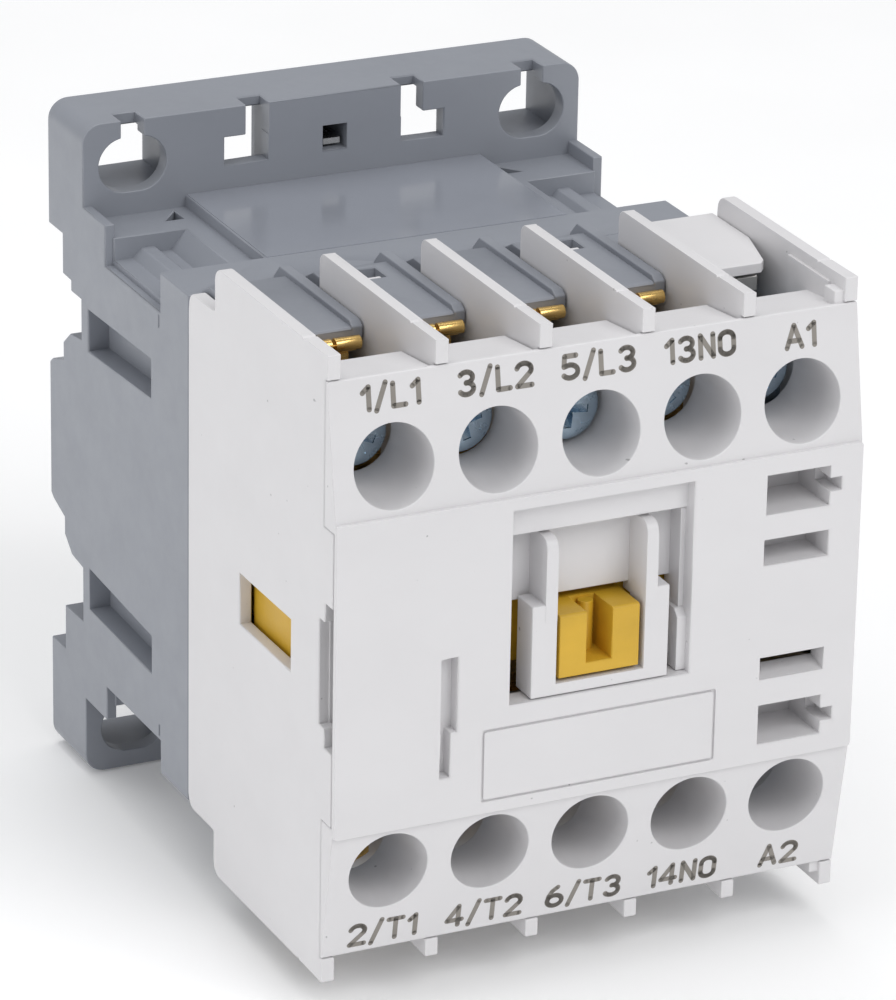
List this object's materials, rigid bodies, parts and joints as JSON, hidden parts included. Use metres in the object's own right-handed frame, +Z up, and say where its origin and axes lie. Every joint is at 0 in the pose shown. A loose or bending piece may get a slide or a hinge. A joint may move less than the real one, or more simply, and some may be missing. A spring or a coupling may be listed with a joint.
{
  "type": "din rail contactor",
  "caption": "Compact DIN-rail contactor with screw terminals behind a white front, a grey base with fixing flanges, and a yellow sliding contact carrier driven by a coil.",
  "frame": {"origin": "centre of the rear mounting plane, on the raised pad between the two rail channels", "axes": "+X to the right seen from the front, +Y from the front face towards the mounting plane, +Z up"},
  "size_m": [0.045, 0.0581, 0.0576],
  "materials": {
    "grey_plastic": "bluish grey glass-filled polyamide, satin to semi-gloss",
    "white_plastic": "off-white moulded thermoset, finely textured",
    "yellow_plastic": "ochre yellow moulded plastic",
    "black_plastic": "black glass-filled polyamide",
    "brass": "stamped brass with silver-alloy tips",
    "copper": null,
    "enamelled_copper": "enamelled copper wire, modelled as one solid winding",
    "zinc_plated_steel": "blue-passivated zinc plating",
    "spring_steel": "drawn spring steel",
    "core_steel": "stack of silicon-steel laminations",
    "rubber": "soft black damping rubber"
  },
  "bodies": {
    "base": {"base_housing": "grey_plastic", "terminal_housing": "white_plastic", "front_cover": "white_plastic", "line_contact_1": "brass", "line_contact_2": "brass", "line_contact_3": "brass", "line_contact_4": "brass", "load_contact_1": "brass", "load_contact_2": "brass", "load_contact_3": "brass", "load_contact_4": "brass", "coil_terminal_a1": "zinc_plated_steel", "coil_terminal_a2": "zinc_plated_steel", "coil_bobbin": "black_plastic", "coil_winding": "enamelled_copper", "fixed_core": "core_steel", "shading_ring_left": "copper", "shading_ring_right": "copper", "core_pad": "rubber", "return_spring_left": "spring_steel", "return_spring_right": "spring_steel"},
    "carrier": {"contact_carrier": "yellow_plastic", "moving_core": "core_steel", "armature_pin": "spring_steel", "contact_spring_1": "spring_steel", "contact_spring_2": "spring_steel", "contact_spring_3": "spring_steel", "contact_spring_4": "spring_steel"},
    "bridge_1": {"contact_bridge_1": "copper"},
    "bridge_2": {"contact_bridge_2": "copper"},
    "bridge_3": {"contact_bridge_3": "copper"},
    "bridge_4": {"contact_bridge_4": "copper"},
    "rail_latch": {"rail_latch_spring": "spring_steel"},
    "clamp_upper_1": {"saddle_clamp_upper_1": "brass"},
    "screw_upper_1": {"terminal_screw_upper_1": "zinc_plated_steel"},
    "clamp_upper_2": {"saddle_clamp_upper_2": "brass"},
    "screw_upper_2": {"terminal_screw_upper_2": "zinc_plated_steel"},
    "clamp_upper_3": {"saddle_clamp_upper_3": "brass"},
    "screw_upper_3": {"terminal_screw_upper_3": "zinc_plated_steel"},
    "clamp_upper_4": {"saddle_clamp_upper_4": "brass"},
    "screw_upper_4": {"terminal_screw_upper_4": "zinc_plated_steel"},
    "clamp_upper_5": {"saddle_clamp_upper_5": "zinc_plated_steel"},
    "screw_upper_5": {"terminal_screw_upper_5": "zinc_plated_steel"},
    "clamp_lower_1": {"saddle_clamp_lower_1": "brass"},
    "screw_lower_1": {"terminal_screw_lower_1": "zinc_plated_steel"},
    "clamp_lower_2": {"saddle_clamp_lower_2": "brass"},
    "screw_lower_2": {"terminal_screw_lower_2": "zinc_plated_steel"},
    "clamp_lower_3": {"saddle_clamp_lower_3": "brass"},
    "screw_lower_3": {"terminal_screw_lower_3": "zinc_plated_steel"},
    "clamp_lower_4": {"saddle_clamp_lower_4": "brass"},
    "screw_lower_4": {"terminal_screw_lower_4": "zinc_plated_steel"},
    "clamp_lower_5": {"saddle_clamp_lower_5": "zinc_plated_steel"},
    "screw_lower_5": {"terminal_screw_lower_5": "zinc_plated_steel"}
  },
  "joints": [
    {"name": "carrier_slide", "type": "slide", "parent": "base", "child": "carrier", "axis": [0, 1, 0], "range_m": [0, 0.0045], "stiffness_N_per_m": 350, "springref_m": -0.004, "deforming": ["return_spring_left", "return_spring_right"]},
    {"name": "bridge_slide_1", "type": "slide", "parent": "carrier", "child": "bridge_1", "axis": [0, 1, 0], "range_m": [-0.00156, 0], "deforming": ["contact_spring_1"]},
    {"name": "bridge_slide_2", "type": "slide", "parent": "carrier", "child": "bridge_2", "axis": [0, 1, 0], "range_m": [-0.00156, 0], "deforming": ["contact_spring_2"]},
    {"name": "bridge_slide_3", "type": "slide", "parent": "carrier", "child": "bridge_3", "axis": [0, 1, 0], "range_m": [-0.00156, 0], "deforming": ["contact_spring_3"]},
    {"name": "bridge_slide_4", "type": "slide", "parent": "carrier", "child": "bridge_4", "axis": [0, 1, 0], "range_m": [-0.00156, 0], "deforming": ["contact_spring_4"]},
    {"name": "rail_latch_slide", "type": "slide", "parent": "base", "child": "rail_latch", "axis": [0, 0, 1], "range_m": [0, 0.0012], "stiffness_N_per_m": 1500, "springref_m": -0.001},
    {"name": "clamp_lift_upper_1", "type": "slide", "parent": "base", "child": "clamp_upper_1", "axis": [0, 1, 0], "range_m": [-0.00131, 0.00381]},
    {"name": "screw_turn_upper_1", "type": "hinge", "parent": "clamp_upper_1", "child": "screw_upper_1", "pos_m": [-0.0174, -0.0503, 0.01682], "axis": [0, 1, 0], "range_deg": [-787.2, 2287.2]},
    {"name": "clamp_lift_upper_2", "type": "slide", "parent": "base", "child": "clamp_upper_2", "axis": [0, 1, 0], "range_m": [-0.00081, 0.00431]},
    {"name": "screw_turn_upper_2", "type": "hinge", "parent": "clamp_upper_2", "child": "screw_upper_2", "pos_m": [-0.0087, -0.0508, 0.01682], "axis": [0, 1, 0], "range_deg": [-487.2, 2587.2]},
    {"name": "clamp_lift_upper_3", "type": "slide", "parent": "base", "child": "clamp_upper_3", "axis": [0, 1, 0], "range_m": [0, 0.00511]},
    {"name": "screw_turn_upper_3", "type": "hinge", "parent": "clamp_upper_3", "child": "screw_upper_3", "pos_m": [0, -0.0516, 0.01682], "axis": [0, 1, 0], "range_deg": [-7.2, 3067.2]},
    {"name": "clamp_lift_upper_4", "type": "slide", "parent": "base", "child": "clamp_upper_4", "axis": [0, 1, 0], "range_m": [-0.00131, 0.00381]},
    {"name": "screw_turn_upper_4", "type": "hinge", "parent": "clamp_upper_4", "child": "screw_upper_4", "pos_m": [0.0087, -0.0503, 0.01682], "axis": [0, 1, 0], "range_deg": [-787.2, 2287.2]},
    {"name": "clamp_lift_upper_5", "type": "slide", "parent": "base", "child": "clamp_upper_5", "axis": [0, 1, 0], "range_m": [-0.00151, 0.00361]},
    {"name": "screw_turn_upper_5", "type": "hinge", "parent": "clamp_upper_5", "child": "screw_upper_5", "pos_m": [0.0174, -0.0501, 0.01682], "axis": [0, 1, 0], "range_deg": [-907.2, 2167.2]},
    {"name": "clamp_lift_lower_1", "type": "slide", "parent": "base", "child": "clamp_lower_1", "axis": [0, 1, 0], "range_m": [-0.00251, 0.00261]},
    {"name": "screw_turn_lower_1", "type": "hinge", "parent": "clamp_lower_1", "child": "screw_lower_1", "pos_m": [-0.0174, -0.0491, -0.01682], "axis": [0, 1, 0], "range_deg": [-1507.2, 1567.2]},
    {"name": "clamp_lift_lower_2", "type": "slide", "parent": "base", "child": "clamp_lower_2", "axis": [0, 1, 0], "range_m": [-0.00351, 0.00161]},
    {"name": "screw_turn_lower_2", "type": "hinge", "parent": "clamp_lower_2", "child": "screw_lower_2", "pos_m": [-0.0087, -0.0481, -0.01682], "axis": [0, 1, 0], "range_deg": [-2107.2, 967.2]},
    {"name": "clamp_lift_lower_3", "type": "slide", "parent": "base", "child": "clamp_lower_3", "axis": [0, 1, 0], "range_m": [-0.00511, 0]},
    {"name": "screw_turn_lower_3", "type": "hinge", "parent": "clamp_lower_3", "child": "screw_lower_3", "pos_m": [0, -0.0465, -0.01682], "axis": [0, 1, 0], "range_deg": [-3067.2, 7.2]},
    {"name": "clamp_lift_lower_4", "type": "slide", "parent": "base", "child": "clamp_lower_4", "axis": [0, 1, 0], "range_m": [-0.00511, 0]},
    {"name": "screw_turn_lower_4", "type": "hinge", "parent": "clamp_lower_4", "child": "screw_lower_4", "pos_m": [0.0087, -0.0465, -0.01682], "axis": [0, 1, 0], "range_deg": [-3067.2, 7.2]},
    {"name": "clamp_lift_lower_5", "type": "slide", "parent": "base", "child": "clamp_lower_5", "axis": [0, 1, 0], "range_m": [-0.00351, 0.00161]},
    {"name": "screw_turn_lower_5", "type": "hinge", "parent": "clamp_lower_5", "child": "screw_lower_5", "pos_m": [0.0174, -0.0481, -0.01682], "axis": [0, 1, 0], "range_deg": [-2107.2, 967.2]}
  ],
  "couplings": [
    {"joint": "bridge_slide_1", "follows": "carrier_slide", "ratio": -0.34444},
    {"joint": "bridge_slide_2", "follows": "carrier_slide", "ratio": -0.34444},
    {"joint": "bridge_slide_3", "follows": "carrier_slide", "ratio": -0.34444},
    {"joint": "bridge_slide_4", "follows": "carrier_slide", "ratio": -0.34444},
    {"joint": "screw_turn_upper_1", "follows": "clamp_lift_upper_1", "rad_per_m": 10472},
    {"joint": "screw_turn_upper_2", "follows": "clamp_lift_upper_2", "rad_per_m": 10472},
    {"joint": "screw_turn_upper_3", "follows": "clamp_lift_upper_3", "rad_per_m": 10472},
    {"joint": "screw_turn_upper_4", "follows": "clamp_lift_upper_4", "rad_per_m": 10472},
    {"joint": "screw_turn_upper_5", "follows": "clamp_lift_upper_5", "rad_per_m": 10472},
    {"joint": "screw_turn_lower_1", "follows": "clamp_lift_lower_1", "rad_per_m": 10472},
    {"joint": "screw_turn_lower_2", "follows": "clamp_lift_lower_2", "rad_per_m": 10472},
    {"joint": "screw_turn_lower_3", "follows": "clamp_lift_lower_3", "rad_per_m": 10472},
    {"joint": "screw_turn_lower_4", "follows": "clamp_lift_lower_4", "rad_per_m": 10472},
    {"joint": "screw_turn_lower_5", "follows": "clamp_lift_lower_5", "rad_per_m": 10472}
  ]
}
